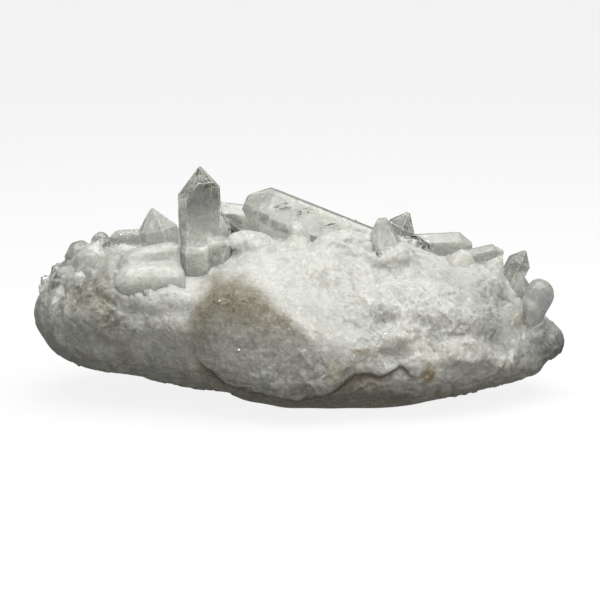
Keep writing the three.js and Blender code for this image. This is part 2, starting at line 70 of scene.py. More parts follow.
def mm(*lengths: float) -> Point:
    """Lengths given in millimetres."""
    return tuple(length * MM for length in lengths)


class Slot(Enum):
    """The record's material slots."""

    MILKY = "milky_quartz"
    CLEAR = "clear_quartz"
    CLOUDY = "cloudy_quartz"


@dataclass(frozen=True)
class Grain:
    """One set of quartz grains: their size in metres and the seed that places them."""

    size: float
    seed: int


BLOCKS = Grain(9 * MM, 1)
COARSE = Grain(4.6 * MM, 2)
MEDIUM = Grain(2.2 * MM, 3)
CRUMBS = Grain(1.4 * MM, 4)
SUGAR = Grain(0.6 * MM, 5)
CRACKED = Grain(10 * MM, 7)
FINE = Grain(1.1 * MM, 8)
GROWTH = Grain(2.6 * MM, 11)


# ---- node trees


class Value:
    """One output of a node. Arithmetic on it adds Math nodes to its tree."""

    def __init__(self, tree: "Tree", socket: bpy.types.NodeSocket) -> None:
        """Args: tree, the tree it belongs to; socket, the output it stands for."""
        self.tree = tree
        self.socket = socket

    def out(self, name: str) -> "Value":
        """Another output of the same node, by name."""
        return Value(self.tree, Tree.find(self.socket.node.outputs, name))

    def __add__(self, other: "Value | float") -> "Value":
        """self + other."""
        return self.tree.math("ADD", self, other)

    __radd__ = __add__

    def __sub__(self, other: "Value | float") -> "Value":
        """self - other."""
        return self.tree.math("SUBTRACT", self, other)

    def __rsub__(self, other: "Value | float") -> "Value":
        """other - self."""
        return self.tree.math("SUBTRACT", other, self)

    def __mul__(self, other: "Value | float") -> "Value":
        """self * other."""
        return self.tree.math("MULTIPLY", self, other)

    __rmul__ = __mul__


class Tree:
    """A shader or geometry node tree that is written as expressions."""

    place: Value

    def __init__(self, nodes: bpy.types.NodeTree) -> None:
        """Args: nodes, the tree to add to."""
        self.nodes = nodes

    @staticmethod
    def find(sockets: bpy.types.bpy_prop_collection, name: str | int) -> bpy.types.NodeSocket:
        """The socket in use that has this name, or this place where names repeat."""
        named = (s for s in sockets if s.name == name and s.enabled)
        return sockets[name] if isinstance(name, int) else next(named)

    def node(self, kind: str, sockets: dict | None = None, **settings: object) -> Value | None:
        """Adds a node.

        Args:
            kind: the node's type.
            sockets: values or links of its inputs, by name or place; a list is many links.
            **settings: its properties, set first.

        Returns:
            Its first output in use, if it has any.
        """
        node = self.nodes.nodes.new(kind)
        for name, value in settings.items():
            setattr(node, name, value)
        for name, value in (sockets or {}).items():
            socket = self.find(node.inputs, name)
            for each in value if isinstance(value, list) else [value]:
                if isinstance(each, Value):
                    self.nodes.links.new(each.socket, socket)
                else:
                    socket.default_value = each
        used = [s for s in node.outputs if s.enabled]
        return Value(self, used[0]) if used else None

    def math(self, operation: str, *terms: Value | float) -> Value:
        """A Math node's result."""
        return self.node("ShaderNodeMath", dict(enumerate(terms)), operation=operation)

    def vector(self, operation: str, *terms: Value | Point) -> Value:
        """A Vector Math node's result."""
        return self.node("ShaderNodeVectorMath", dict(enumerate(terms)), operation=operation)

    def minus(self, vector: Value, other: Value | Point) -> Value:
        """The difference of two vectors."""
        return self.vector("SUBTRACT", vector, other)

    def scaled(self, vector: Value | Point, factor: Value | float) -> Value:
        """A vector times a number."""
        return self.node("ShaderNodeVectorMath", {0: vector, "Scale": factor}, operation="SCALE")

    def pushed(self, place: Value, way: Value, share: Value | float) -> Value:
        """A place that goes a share of a way."""
        return self.vector("ADD", place, self.scaled(way, share))

    def parts(self, vector: Value) -> tuple[Value, Value, Value]:
        """A vector's x, y and z."""
        split = self.node("ShaderNodeSeparateXYZ", {"Vector": vector})
        return split.out("X"), split.out("Y"), split.out("Z")

    def rise(self, value: Value, low: float, high: float) -> Value:
        """0 below low, 1 above high and smooth between; low above high turns it round."""
        sockets = {"Value": value, "From Min": low, "From Max": high}
        return self.node("ShaderNodeMapRange", sockets, interpolation_type="SMOOTHSTEP")

    def mix(self, factor: Value | float, first: Value | Colour, second: Value | Colour) -> Value:
        """The colour between two that is the first at 0 and the second at 1."""
        pair = [c if isinstance(c, Value) else (*c, 1.0) for c in (first, second)]
        return self.node("ShaderNodeMix", {"Factor": factor, "A": pair[0], "B": pair[1]}, data_type="RGBA")

    def noise(self, size: float, detail: float = 3.0, place: Value | None = None) -> Value:
        """Cloudy noise from 0 to 1 whose lumps are about `size` metres across."""
        sockets = {"Vector": place or self.place, "Scale": 1 / size, "Detail": detail}
        return self.node("ShaderNodeTexNoise", sockets)

    def blob(self, centre: Point, half: Point) -> Value:
        """1 at the middle of an ellipsoid with these half sizes, falling to 0 at its skin."""
        away = self.vector("DIVIDE", self.minus(self.place, centre), half)
        return self.rise(self.vector("LENGTH", away), 1.0, 0.35)

    def ragged(self) -> Value:
        """The place, pushed about by some tenths of a millimetre, so that grains get ragged outlines."""
        drift = self.noise(4 * MM, 2.0).out("Color")
        return self.pushed(self.place, self.minus(drift, MIDDLE), 0.9 * MM)

    def cells(self, grain: Grain, place: Value | None = None, feature: str = "F1") -> tuple[Value, Value]:
        """The cells of some grains.

        Args:
            grain: their size and seed.
            place: the point on the surface.
            feature: what their distance is measured to.

        Returns:
            The cells, and the place in their pattern, which the seed moves.
        """
        step = (0.31 * grain.seed, -0.17 * grain.seed, 0.23 * grain.seed)
        moved = self.vector("ADD", place or self.place, step)
        sockets = {"Vector": moved, "Scale": 1 / grain.size}
        return self.node("ShaderNodeTexVoronoi", sockets, feature=feature), moved

    def facets(self, grain: Grain, tilt: float, lift: float, place: Value | None = None) -> Value:
        """The height of a surface broken into flat facets that meet in ridges.

        Args:
            grain: the facets' size and seed.
            tilt: how strongly facets lean.
            lift: how far facets stand above each other, in metres.
            place: the point on the surface.

        Returns:
            The height in metres, a little below 0 on average.
        """
        planes = []
        for nearness in ("F1", "F2"):
            cells, moved = self.cells(grain, place, nearness)
            lean = self.minus(cells.out("Color"), MIDDLE)
            slope = self.vector("DOT_PRODUCT", lean, self.minus(moved, cells.out("Position")))
            step = self.vector("DOT_PRODUCT", lean, (1.1, -0.9, 0.7))
            planes.append(slope * tilt + step * lift)
        return self.math("MINIMUM", *planes)

    def seams(self, grain: Grain, width: float, place: Value) -> Value:
        """1 on the borders between grains, a share of their size wide, and 0 inside them."""
        return self.rise(self.cells(grain, place, "DISTANCE_TO_EDGE")[0], width, 0.0)

    def grain_tone(self, grain: Grain, place: Value | None = None) -> Value:
        """A number from 0 to 1 for each grain."""
        return self.parts(self.cells(grain, place)[0].out("Color"))[1]


class Paint(Tree):
    """A new material's node tree, in which a place is the object coordinates."""

    def __init__(self, name: str) -> None:
        """Args: name, the material's name."""
        self.material = bpy.data.materials.new(name)
        self.material.use_nodes = True
        self.material.node_tree.nodes.clear()
        super().__init__(self.material.node_tree)
        self.place = self.node("ShaderNodeTexCoord").out("Object")

    def mark(self, name: str) -> Value:
        """A number that is stored on the mesh."""
        return self.node("ShaderNodeAttribute", attribute_name=name).out("Fac")

    def surface(self, sockets: dict, **volume: Value) -> Material:
        """Ends the tree.

        Args:
            sockets: the Principled surface's values and links.
            **volume: the Volume, where there is one.

        Returns:
            The material.
        """
        surface = self.node("ShaderNodeBsdfPrincipled", sockets)
        self.node("ShaderNodeOutputMaterial", {"Surface": surface, **volume})
        return self.material


class Shape(Tree):
    """A new geometry node group, in which a place is each point of the incoming body."""

    def __init__(self, name: str) -> None:
        """Args: name, the group's name."""
        super().__init__(bpy.data.node_groups.new(name, "GeometryNodeTree"))
        for way in ("INPUT", "OUTPUT"):
            self.nodes.interface.new_socket("Geometry", in_out=way, socket_type="NodeSocketGeometry")
        self.body = self.node("NodeGroupInput")
        self.place = self.node("GeometryNodeInputPosition")
        self.outward = self.node("GeometryNodeInputNormal")

    def evened(self, value: Value, iterations: int) -> Value:
        """A vector on each point, evened out over its neighbours."""
        sockets = {"Value": value, "Iterations": iterations}
        return self.node("GeometryNodeBlurAttribute", sockets, data_type="FLOAT_VECTOR")

    def shape_of(self, piece: Object) -> Value:
        """Another object's mesh."""
        return self.node("GeometryNodeObjectInfo", {"Object": piece}).out("Geometry")

    def nearest(self, pieces: list[Object]) -> Value:
        """The nearest place on some pieces; its node's "Distance" is how far it is in metres."""
        joined = self.node("GeometryNodeJoinGeometry", {"Geometry": [self.shape_of(p) for p in pieces]})
        return self.node("GeometryNodeProximity", {"Geometry": joined}, target_element="FACES")

    def apply(self, piece: Object, shape: Value | None = None, **move: Value) -> None:
        """Ends the group and applies it to a piece.

        Args:
            piece: the piece.
            shape: the outgoing geometry, where it isn't the body moved.
            **move: the body's new Position, or the Offset it moves by.
        """
        if move:
            shape = self.node("GeometryNodeSetPosition", {"Geometry": self.body, **move})
        self.node("NodeGroupOutput", {0: shape})
        apply_modifier(piece, "NODES", node_group=self.nodes)


# ---- mesh helpers


def select_only(*objects: Object) -> None:
    """Args: objects, which alone get selected, the last of them active."""
    bpy.ops.object.select_all(action="DESELECT")
    for item in objects:
        item.select_set(True)
        bpy.context.view_layer.objects.active = item


def edit(select: bool = True) -> None:
    """Opens the active object for editing, with all of it selected or nothing."""
    bpy.ops.object.mode_set(mode="EDIT")
    bpy.ops.mesh.select_all(action="SELECT" if select else "DESELECT")


def apply_modifier(piece: Object, kind: str, **settings: object) -> None:
    """Adds a modifier and applies it.

    Args:
        piece: the object.
        kind: the modifier's type.
        **settings: its properties.
    """
    select_only(piece)
    modifier = piece.modifiers.new(kind.lower(), kind)
    for name, value in settings.items():
        setattr(modifier, name, value)
    bpy.ops.object.modifier_apply(modifier=modifier.name)


def reduce_and_smooth(piece: Object, ratio: float) -> None:
    """Keeps a share of a piece's faces and shades it smooth all over."""
    apply_modifier(piece, "DECIMATE", ratio=ratio)
    bpy.ops.object.shade_smooth()


def new_object(name: str, data: bpy.types.ID) -> Object:
    """A new object of the scene.

    Args:
        name: its name.
        data: its mesh, camera or light.

    Returns:
        The object.
    """
    item = bpy.data.objects.new(name, data)
    bpy.context.scene.collection.objects.link(item)
    return item


def copy_of_node(node: str, name: str) -> Object:
    """A free copy of a CAD node with its doubles merged.

    Args:
        node: the CAD node.
        name: the copy's name.

    Returns:
        The copy, at the origin.
    """
    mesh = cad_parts[node].data.copy()
    mesh.materials.clear()
    piece = new_object(name, mesh)
    select_only(piece)
    bpy.ops.mesh.customdata_custom_splitnormals_clear()
    edit()
    bpy.ops.mesh.remove_doubles(threshold=WELD)
    bpy.ops.object.mode_set(mode="OBJECT")
    return piece


def hand_over(piece: Object, material: Material, slot: Slot, *nodes: str, shadow: bool = False) -> None:
    """Dresses a finished piece, hangs it on the body and hides the CAD nodes that it stands for.

    Args:
        piece: the finished piece.
        material: its finish.
        slot: the record's slot it takes its finish from; not used.
        *nodes: CAD nodes that it stands for.
        shadow: whether it throws one.
    """
    piece.data.materials.clear()
    piece.data.materials.append(material)
    piece.visible_shadow = shadow
    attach(piece, BODY)
    if nodes:
        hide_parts(*nodes)
    triangles = sum(len(p.vertices) - 2 for p in piece.data.polygons)
    log.info("%s: %d triangles, stands for %s", piece.name, triangles, ", ".join(nodes) or "none")


# ---- finishes


@dataclass(frozen=True)
class Patch:
    """A soft-edged place on the body with a tone laid over it; some of these tones are painted light and
    shade.
    """

    centre: Point
    half: Point
    colour: Colour
    share: float


GLASSY = (0.46, 0.47, 0.45)
RUST = (0.34, 0.28, 0.16)
PATCHES = (
    Patch(mm(-47, -10, 31), mm(20, 26, 13), (0.42, 0.43, 0.41), 0.85),
    Patch(mm(-42, -20, 21), mm(14, 14, 8), GLASSY, 0.55),
    # These two darken the far right end: painted shade where it turns away from the lamps, over a glassy
    # grey tone.
    Patch(mm(50, -12, 21), mm(18, 26, 16), GLASSY, 0.70),
    Patch(mm(57, -8, 13), mm(9, 20, 8), (0.30, 0.31, 0.30), 0.9),
    # Painted highlight: a pale patch where a facet right of the crack is bright.
    Patch(mm(17, -20, 28.3), mm(5, 6, 2.6), (0.90, 0.90, 0.88), 0.9),
    Patch(mm(6.6, -29, 12), mm(3, 5, 3.2), (0.78, 0.74, 0.60), 0.9),
    Patch(mm(13, -25, 15.4), mm(3, 6, 1.6), RUST, 0.6),
    Patch(mm(26, -22, 10.8), mm(4, 6, 4), RUST, 0.8),
    Patch(mm(29.4, -20, 6.0), mm(1, 8, 3), RUST, 0.8),
    Patch(mm(-41, -18, 20), mm(3, 8, 6), RUST, 0.30),
    Patch(mm(-44.5, -18, 25.5), mm(9, 10, 6), (0.40, 0.39, 0.32), 0.8),
    Patch(mm(36, -9, 26.5), mm(13, 14, 6.5), GLASSY, 0.35),
    Patch(mm(9, -28.5, 15), mm(7, 7, 6), GLASSY, 0.35),
    # Painted shade: the darkest place just below the brow.
    Patch(mm(-13, -26, 27.8), mm(9, 6, 4.4), (0.19, 0.17, 0.11), 0.9),
    # Painted shade under the end knob.
    Patch(mm(47, -6, 18.5), mm(6, 8, 2.5), (0.42, 0.40, 0.33), 0.8),
    Patch(mm(-21, -24, 20), mm(3, 8, 7), RUST, 0.35),
)
# Painted light: pale patches that lift places darkened by the shade under the brow and the foot, standing
# in for light through the translucent quartz; the last one is a rust stain.
PAINTED_LIGHT_AND_RUST = (
    Patch(mm(-21.8, -19, 28), mm(4, 9, 4.5), (0.80, 0.80, 0.76), 0.75),
    Patch(mm(-16.5, -18, 31), mm(5, 8, 2.8), (0.80, 0.80, 0.76), 0.55),
    Patch(mm(21.8, -26.5, 10.5), mm(6, 7, 8), (0.87, 0.87, 0.85), 0.95),
    Patch(mm(36, -21, 9), mm(8, 9, 6), (0.82, 0.82, 0.80), 0.6),
    Patch(mm(27, -25, 10.2), mm(2.2, 4, 2), RUST, 0.8),
)


@dataclass(frozen=True)
class MilkyQuartz:
    """Massive milky quartz: sugary grains, waxy where it is worn, rusty in its cracks."""

    white: Colour = (0.755, 0.76, 0.715)
    grey: Colour = (0.66, 0.67, 0.65)
    cream: Colour = (0.70, 0.66, 0.55)
    # Rust in the cracks, and also painted shade under the foot and towards the bottom.
    dirt_and_shade: Colour = (0.36, 0.32, 0.24)
    # Painted shade under the brow, brown near its top where it is partly a stain.
    umber_stain_and_shade: Colour = (0.26, 0.235, 0.16)
    shade: Colour = (0.51, 0.505, 0.485)
    # Painted shade in the crevice just under the foot's lip.
    deep: Colour = (0.20, 0.165, 0.11)
    # A glassy grey tone of grains and speckles, also painted shade in hollows.
    glassy_and_hollow_shade: Colour = (0.50, 0.51, 0.48)
    # Frost on the grains' borders, also painted highlights on convex edges.
    frost_and_edge_highlight: Colour = (0.88, 0.88, 0.86)
    milkiness: float = 0.54
    scatter: float = 2.0 * MM

    def material(self) -> Material:
        """Returns: the finish as a material."""
        tree = Paint("milky_quartz")
        return tree.surface({
            "Base Color": self._colour(tree),
            "Roughness": 0.40 - 0.33 * tree.rise(tree.grain_tone(SUGAR), 0.55, 0.75),
            "IOR": QUARTZ_IOR,
            "Subsurface Weight": self.milkiness,
            "Subsurface Radius": (1.0, 0.92, 0.78),
            "Subsurface Scale": self.scatter,
            "Normal": self._relief(tree),
        })

    @staticmethod
    def _relief(tree: Paint) -> Value:
        """The fine grain of the broken surface as a normal.

        Args:
            tree: the material's tree.

        Returns:
            The normal.
        """
        height = (
            tree.facets(CRUMBS, 0.46, 0.02 * MM, tree.ragged())
            + tree.facets(SUGAR, 0.60, 0.01 * MM)
            + tree.noise(0.35 * MM, 2.0) * (0.015 * MM)
        )
        height = height * (0.85 + 0.25 * tree.mark("broken"))
        return tree.node("ShaderNodeBump", {"Strength": 0.8, "Distance": 1.0, "Height": height})

    def _colour(self, tree: Paint) -> Value:
        """The quartz's colour over the body, tone upon tone, with painted shade and highlights among the
        tones.

        Args:
            tree: the material's tree.

        Returns:
            The colour.
        """
        z = tree.parts(tree.place)[2]
        cloud = tree.noise(9 * MM)
        wisps = tree.noise(2.5 * MM)
        broken, hollow = tree.mark("broken"), tree.mark("hollow")
        ragged = tree.ragged()
        colour = tree.mix(tree.rise(cloud, 0.40, 0.66), self.white, self.grey)
        for grain, share in ((COARSE, 0.38), (MEDIUM, 0.40), (FINE, 0.28)):
            tone = tree.rise(tree.grain_tone(grain, ragged), 0.35, 0.95)
            colour = tree.mix(tone * (0.38 + 0.65 * broken) * share, colour, self.glassy_and_hollow_shade)
        cracks = tree.seams(CRACKED, 0.012, ragged) * tree.rise(tree.noise(6 * MM), 0.48, 0.60)
        colour = tree.mix(cracks * 0.40, colour, self.dirt_and_shade)
        speckle = tree.rise(tree.noise(0.45 * MM, 1.0), 0.50, 0.72)
        colour = tree.mix(speckle * 0.20, colour, self.glassy_and_hollow_shade)
        for grain in (COARSE, MEDIUM):
            colour = tree.mix(tree.seams(grain, 0.07, ragged) * (0.22 + 0.35 * broken), colour, self.frost_and_edge_highlight)
        warm = tree.rise(tree.noise(14 * MM, 2.0), 0.46, 0.64) * tree.rise(z, 26 * MM, 8 * MM)
        colour = tree.mix(warm * 0.5, colour, self.cream)
        # Stains and tones, with some painted shade and a painted highlight among them.
        colour = self._patched(tree, colour, wisps, PATCHES)
        # Painted shade under the brow: brown, partly a stain, near the brow and grey lower down.
        shade = tree.mix(tree.rise(z, 24 * MM, 15 * MM), self.umber_stain_and_shade, self.shade)
        colour = tree.mix(tree.mark("brow") * (0.75 + 0.4 * cloud), colour, shade)
        # Darker in the creases, and painted shade under the foot's lip.
        colour = tree.mix(tree.mark("crease") * (0.30 + 0.5 * cloud), colour, self.dirt_and_shade)
        # Painted shade in hollows and painted highlights on convex edges.
        colour = tree.mix(tree.rise(hollow, 0.5, 1.0) * 0.12, colour, self.glassy_and_hollow_shade)
        colour = tree.mix(tree.rise(hollow, 0.5, 0.0) * broken * 0.20, colour, self.frost_and_edge_highlight)
        # Painted light over the shade under the brow and the foot, and one rust stain.
        colour = self._patched(tree, colour, wisps, PAINTED_LIGHT_AND_RUST)
        # Painted shade: a dark line in the crevice just under the foot's lip.
        colour = tree.mix(tree.mark("crevice") * (0.7 + 0.5 * cloud), colour, self.deep)
        # Painted shade: darker and browner towards the bottom, where the body turns under.
        under = tree.rise(z + (cloud - 0.5) * (6 * MM), 7.5 * MM, 1.0 * MM)
        return tree.mix(under * 0.50, colour, self.dirt_and_shade)

    @staticmethod
    def _patched(tree: Paint, colour: Value, wisps: Value, patches: tuple[Patch, ...]) -> Value:
        """A colour with some patches over it.

        Args:
            tree: the material's tree.
            colour: the colour under the patches.
            wisps: noise that frays them.
            patches: the patches.

        Returns:
            The colour.
        """
        for patch in patches:
            share = tree.blob(patch.centre, patch.half) * (0.4 + 1.2 * wisps)
            colour = tree.mix(share * patch.share, colour, patch.colour)
        return colour


@dataclass(frozen=True)
class RockCrystal:
    """The clear skin of a quartz crystal, with fine growth lines across its faces."""

    name: str
    axis: Point = UP
    polish: float = 0.03
    tint: Colour = (0.98, 0.99, 0.98)
    smoke: Colour = (0.81, 0.82, 0.80)
    density: float = 14.0

    def material(self) -> Material:
        """Returns: the finish as a material."""
        tree = Paint(self.name + "_quartz")
        lines = tree.node("ShaderNodeCombineXYZ", {"Z": tree.vector("DOT_PRODUCT", tree.place, self.axis)})
        height = (
            tree.facets(GROWTH, 0.03, 0.0)
            + tree.noise(1.4 * MM, 2.0) * (0.03 * MM)
            + tree.noise(0.5 * MM, 2.0, lines) * (0.012 * MM)
        )
        sockets = {
            "Base Color": (*self.tint, 1.0),
            "Roughness": self.polish,
            "IOR": QUARTZ_IOR,
            "Transmission Weight": 1.0,
            "Normal": tree.node("ShaderNodeBump", {"Strength": 1.0, "Distance": 1.0, "Height": height}),
        }
        inside = {"Color": (*self.smoke, 1.0), "Density": self.density}
        return tree.surface(sockets, Volume=tree.node("ShaderNodeVolumeAbsorption", inside))


@dataclass(frozen=True)
class Milk:
    """The cloud inside a crystal: thin at its tip, dense towards its root, with veils and specks."""

    name: str
    axis: Point
    top: float
    clear: float
    fade: float
    haze: float
    most: float
    veils: float
    white: Colour
    grey: Colour = (0.52, 0.53, 0.51)

    def material(self) -> Material:
        """Returns: the finish as a material."""
        tree = Paint(self.name + "_milk")
        depth = self.top - tree.vector("DOT_PRODUCT", tree.place, self.axis)
        cloud = tree.noise(3.0 * MM)
        wisps = tree.noise(0.9 * MM)
        specks = tree.rise(tree.noise(0.35 * MM, 1.0), 0.52, 0.66)
        veils = tree.rise(tree.math("ABSOLUTE", tree.noise(2.4 * MM, 2.0) - 0.5), 0.035, 0.0)
        milk = tree.rise(depth + (cloud - 0.5) * (1.2 * self.fade), self.clear, self.clear + self.fade)
        body = self.haze * (0.4 + 1.2 * cloud) + milk * (self.most - self.haze)
        flaws = (specks * 0.10 + veils * 0.18) * self.veils
        alpha = body * (0.80 + 0.4 * tree.rise(wisps, 0.35, 0.65)) + flaws
        return tree.surface({
            "Base Color": tree.mix(tree.rise(wisps * 0.4 + cloud * 0.6, 0.44, 0.62), self.white, self.grey),
            "Roughness": 0.6,
            "IOR": 1.05,
            "Subsurface Weight": 1.0,
            "Subsurface Radius": (1.0, 0.95, 0.85),
            "Subsurface Scale": 2.0 * MM,
            "Alpha": tree.math("MINIMUM", alpha, 1.0),
        })


@dataclass(frozen=True)
class CrackSheen:
    """The silvery streaks of a crack inside clear quartz."""

    name: str
    centre: Point
    reach: float
    silver: Colour

    def material(self) -> Material:
        """Returns: the finish as a material."""
        tree = Paint(self.name)
        away = tree.vector("LENGTH", tree.minus(tree.place, self.centre))
        drawn = tree.vector("MULTIPLY", tree.place, (0.22, 1.0, 0.6))
        streaks = tree.rise(tree.noise(0.42 * MM, place=drawn), 0.50, 0.56)
        return tree.surface({
            "Base Color": (*self.silver, 1.0),
            "Metallic": 1.0,
            "Roughness": 0.12,
            "Alpha": streaks * tree.rise(away, self.reach, 0.3 * self.reach) * 0.85,
        })


@dataclass(frozen=True)
class EdgeHighlight:
    """Painted highlight: a white line along a crystal's sharp edge, standing in for the light that the edge
    catches, broken here and there.
    """

    name: str
    white: Colour = (0.88, 0.89, 0.86)

    def material(self) -> Material:
        """Returns: the finish as a material."""
        tree = Paint(self.name)
        return tree.surface({
            "Base Color": (*self.white, 1.0),
            "Roughness": 0.45,
            "Alpha": 0.75 * tree.rise(tree.noise(1.6 * MM, 2.0), 0.38, 0.58),
        })


@dataclass(frozen=True)
class StudioPaper:
    """Matt white paper under the specimen."""

    white: Colour = (0.16, 0.16, 0.16)
    glow: float = 0.86

    def material(self) -> Material:
        """Returns: the finish as a material."""
        tree = Paint("studio_paper")
        return tree.surface({
            "Base Color": (*self.white, 1.0),
            "Roughness": 0.9,
            "Specular IOR Level": 0.0,
            "Emission Color": (*WHITE, 1.0),
            "Emission Strength": self.glow,
        })


# ---- the milky body


@dataclass(frozen=True)
class Crease:
    """A groove across the body's front: its course seen from the front, in x and z, and its size."""

    course: tuple[tuple[float, float], ...]
    depth: float
    width: float


CREASES = (
    Crease(((-42, 35), (-42.5, 28), (-39.5, 21), (-38.5, 16), (-36, 7)), 0.35 * MM, 2.6 * MM),
    Crease(((11.0, 29.6), (11.4, 27.0), (12.6, 25.2), (14.6, 23.6)), 0.22 * MM, 0.8 * MM),
    Crease(((32.6, 7.2), (33.4, 5.0), (32.8, 2.6)), 0.4 * MM, 0.7 * MM),
)


@dataclass(frozen=True)
class Lip:
    """An edge across the body's front, in x and z, under which the surface is cut back."""

    line: tuple[tuple[float, float], ...]
    depth: float
    soft: float
    reach: float
    stray: float


# Places where the body swells up towards a crystal: middle, half size and height.
SWELLS = (
    (mm(40, -2, 26), mm(9, 10, 7), 1.5 * MM),
    (mm(32, 8.5, 29.5), mm(10, 8, 6), 3.4 * MM),
    (mm(24.8, 11, 31.8), mm(5, 8, 5), 3.6 * MM),
    (mm(35, -20.5, 14.0), mm(10, 6, 4.5), 1.2 * MM),
    (mm(16.9, -8.4, 31.8), mm(3, 3, 3), 0.7 * MM),
    (mm(-14.5, -10, 36.5), mm(4, 5, 4), 1.0 * MM),
    (mm(-31, -20.5, 26.0), mm(10, 6, 4), 1.4 * MM),
    (mm(-40.5, -18, 28.5), mm(4, 5, 5), 0.9 * MM),
    (mm(49, -4, 20), mm(7, 8, 6), 1.4 * MM),
    (mm(18.5, -6, 34), mm(9, 7, 6), 1.0 * MM),
)
BROW = Lip(
    ((-24, 27.0), (-21.3, 29.6), (-17.5, 30.8), (-13.6, 30.7), (-10.3, 29.6), (-6.3, 27.2), (-2.3, 23.9),
     (1.8, 19.9), (5.8, 14.8), (8.2, 9.5)),
    0.15 * MM, 3.4 * MM, 24 * MM, 1.0 * MM,
)
FOOT = Lip(
    ((-23, 15.5), (-20.7, 12.9), (-15.7, 8.2), (-7.3, 6.5), (0, 5.5), (6.3, 7.2), (9.4, 9.3), (11.5, 11.4),
     (16.7, 10.4), (20.9, 13.0), (23.4, 11.0), (27, 9.0)),
    0.7 * MM, 0.8 * MM, 40 * MM, 1.1 * MM,
)


@dataclass(frozen=True)
class Chip:
    """A flat break, in millimetres: its middle on the surface, the way it faces, and its radius."""

    centre: Point
    facing: Point
    radius: float
    sink: float = 0.15
    most: float = 0.45


CHIPS = (
    Chip((6.4, -29.5, 12.5), (0.35, -0.93, 0.05), 3.4),
    Chip((2.0, -30.1, 14.4), (-0.25, -0.95, -0.15), 3.6),
    Chip((9.4, -28.2, 16.5), (0.45, -0.80, 0.40), 2.8),
    Chip((17.8, -26.5, 12.8), (0.10, -0.90, 0.42), 4.0),
    Chip((27.4, -23.2, 16.3), (0.15, -0.90, 0.40), 4.0),
    Chip((43.2, -15.1, 14.4), (0.50, -0.80, 0.25), 3.8),
    Chip((0.0, -28.0, 6.7), (0.15, -0.85, -0.50), 4.2),
    Chip((-10.4, -28.5, 10.1), (-0.35, -0.85, -0.40), 4.5),
    Chip((-49.2, -16.4, 24.6), (-0.35, -0.80, 0.50), 4.5),
    Chip((-44.8, -16.6, 29.0), (-0.60, -0.60, 0.55), 3.6),
    Chip((23.2, -23.1, 18.5), (0.40, -0.85, 0.35), 3.5),
    Chip((33.9, -22.6, 9.6), (0.40, -0.90, -0.15), 4.0),
    Chip((52.7, -8.9, 12.9), (0.50, -0.80, 0.30), 3.0),
    Chip((10.5, -23.8, 19.7), (0.35, -0.60, 0.70), 3.0),
)


